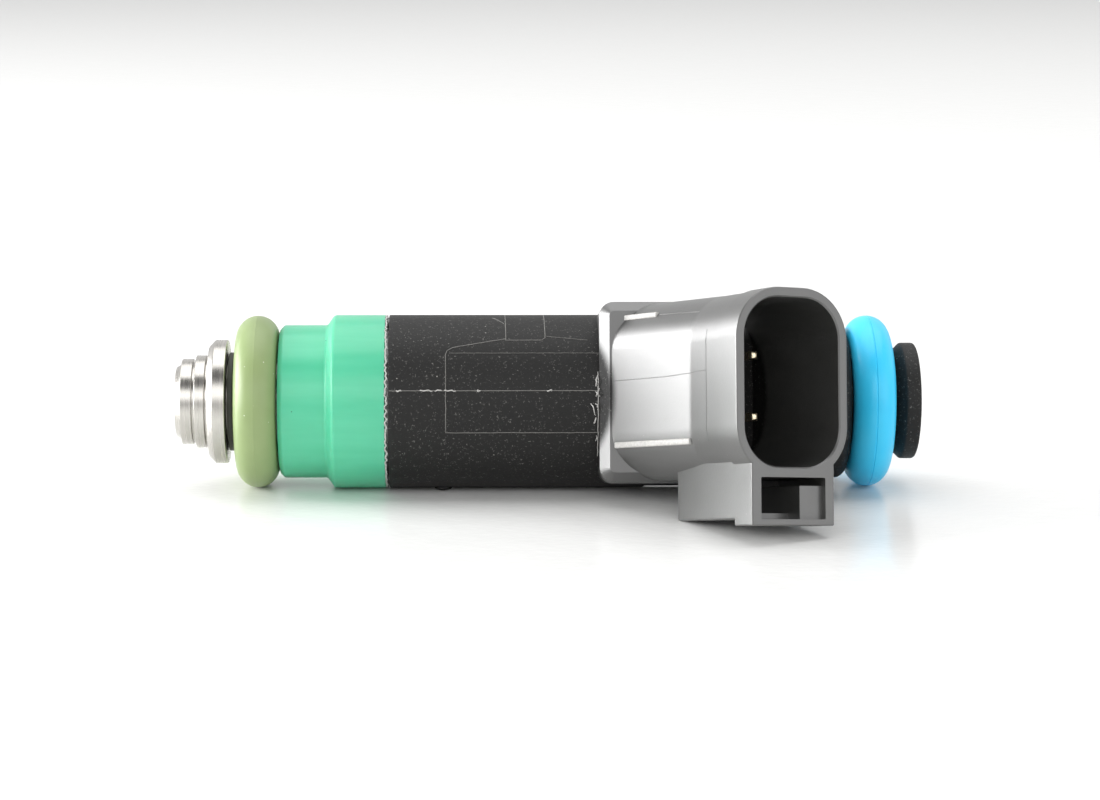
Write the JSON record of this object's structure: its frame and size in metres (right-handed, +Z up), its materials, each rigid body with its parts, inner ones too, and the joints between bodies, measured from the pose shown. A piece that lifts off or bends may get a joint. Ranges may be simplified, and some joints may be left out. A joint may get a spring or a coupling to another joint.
{
  "type": "fuel injector",
  "caption": "Port fuel injector with a stepped steel nozzle, coloured sealing rings, a green locating sleeve and a black body with a side connector tower and latch guard.",
  "frame": {"origin": "centre of the spray tip's outer face, on the injector's axis; the injector lies on its two sealing rings and its latch guard", "axes": "+X along the injector's axis from the spray tip to the fuel inlet, -Y towards the connector, +Z up"},
  "size_m": [0.0624, 0.0306, 0.0197],
  "materials": {
    "turned_steel": "turned, fine rings",
    "hard_steel": "ground and polished",
    "magnetic_steel": "plain soft-magnetic steel",
    "spring_steel": "drawn wire",
    "olive_rubber": "satin fluoro rubber with a mould line",
    "blue_rubber": "satin fluoro rubber with a mould line",
    "black_washer": "plain",
    "green_plastic": "smooth satin moulding",
    "black_nylon": "fine speckled glass-filled moulding",
    "bobbin_nylon": "plain moulding",
    "copper_wire": "enamelled copper wire",
    "tinned_pin": "tin plated blade",
    "filter_plastic": "plain moulding",
    "filter_cloth": "fine woven screen",
    "brass_ring": "pressed brass"
  },
  "bodies": {
    "injector_body": {"nozzle_body": "turned_steel", "orifice_plate": "hard_steel", "valve_seat": "hard_steel", "ball_guide": "hard_steel", "return_spring": "spring_steel", "adjusting_sleeve": "turned_steel", "inlet_tube": "magnetic_steel", "nonmagnetic_ring": "turned_steel", "backup_washer": "black_washer", "lower_o_ring": "olive_rubber", "locating_sleeve": "green_plastic", "coil_housing": "magnetic_steel", "coil_bobbin": "bobbin_nylon", "coil_winding": "copper_wire", "flux_washer": "magnetic_steel", "terminal_upper": "tinned_pin", "terminal_lower": "tinned_pin", "overmould_body": "black_nylon", "upper_o_ring": "blue_rubber", "filter_frame": "filter_plastic", "filter_screen": "filter_cloth", "filter_collar": "brass_ring"},
    "valve": {"valve_ball": "hard_steel", "needle_tube": "turned_steel", "armature": "magnetic_steel"}
  },
  "joints": [
    {"name": "needle_lift", "type": "slide", "parent": "injector_body", "child": "valve", "axis": [1, 0, 0], "range_m": [0, 0.0001], "stiffness_N_per_m": 6000, "springref_m": -0.00002, "deforming": ["return_spring"]}
  ]
}
